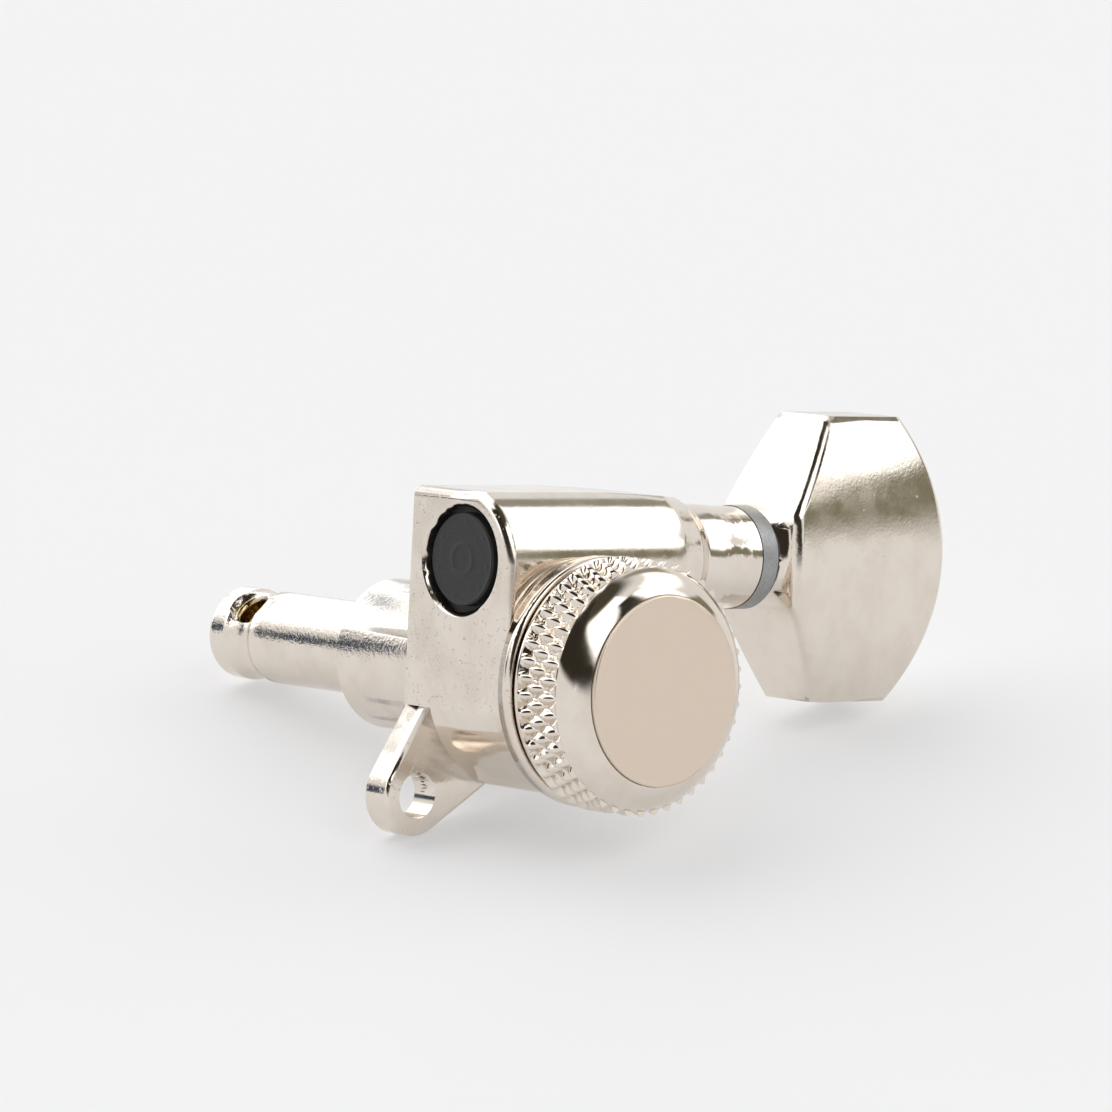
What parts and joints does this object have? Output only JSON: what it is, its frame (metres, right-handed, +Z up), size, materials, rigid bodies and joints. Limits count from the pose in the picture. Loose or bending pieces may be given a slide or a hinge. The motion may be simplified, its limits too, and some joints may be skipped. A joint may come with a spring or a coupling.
{
  "type": "guitar tuning machine",
  "caption": "Locking guitar tuning machine: string post through a worm-geared cast housing with screw ear, rear thumbwheel that clamps the string, and metal button on the worm's end.",
  "frame": {"origin": "on the string post's axis, in the plane of the seat where the housing meets the headstock", "axes": "+Z straight up from the table that the lying machine rests on, by its ear, the post's tip and the button; +X roughly from the post's tip towards the thumbwheel; +Y roughly towards the button"},
  "size_m": [0.0426, 0.0451, 0.0222],
  "materials": {
    "plated_housing": "polished nickel plate over a casting",
    "plated_post": "polished nickel plate with turning marks",
    "plated_wheel": "polished and knurled nickel plate",
    "plated_button": "polished nickel plate, softly brushed",
    "brushed_disc": "bare matt disc, finely brushed",
    "cap_plastic": "black moulded plastic with a soft sheen",
    "gear_brass": "cut brass, greased",
    "bearing_bronze": "sintered bearing bronze",
    "steel": "turned steel",
    "grey_washer_steel": "satin grey washer",
    "dark_steel": "dark spring steel"
  },
  "bodies": {
    "casing": {"housing": "plated_housing", "rear_cover": "plated_housing", "post_sleeve": "bearing_bronze", "gear_washer": "steel", "cover_bush": "bearing_bronze", "end_plug": "cap_plastic", "end_bush": "bearing_bronze", "worm_washer": "steel", "neck_bush": "bearing_bronze"},
    "post": {"string_post": "plated_post", "worm_wheel": "gear_brass", "gear_clip": "steel", "wheel_clip": "steel", "pin_guide": "steel", "wheel_washer": "grey_washer_steel"},
    "pin": {"lock_pin": "steel"},
    "wheel": {"lock_nut": "gear_brass", "thumbwheel": "plated_wheel", "face_disc": "brushed_disc"},
    "worm": {"worm_shaft": "steel", "grey_washer": "grey_washer_steel", "spring_washer": "dark_steel", "button": "plated_button", "button_screw": "steel"}
  },
  "joints": [
    {"name": "worm_spin", "type": "hinge", "parent": "casing", "child": "worm", "pos_m": [0.00317, 0.00175, 0.00795], "axis": [0.0456, 0.9717, -0.2319], "continuous": true},
    {"name": "post_spin", "type": "hinge", "parent": "casing", "child": "post", "pos_m": [0, 0, 0], "axis": [0.9812, 0, 0.193], "continuous": true},
    {"name": "lock_turn", "type": "hinge", "parent": "post", "child": "wheel", "pos_m": [0, 0, 0], "axis": [-0.9812, 0, -0.193], "range_deg": [0, 792]},
    {"name": "lock_travel", "type": "slide", "parent": "post", "child": "pin", "axis": [-0.9812, 0, -0.193], "range_m": [0, 0.0022]}
  ],
  "couplings": [
    {"joint": "post_spin", "follows": "worm_spin", "ratio": 0.055556},
    {"joint": "lock_turn", "follows": "lock_travel", "rad_per_m": 6283.2}
  ]
}
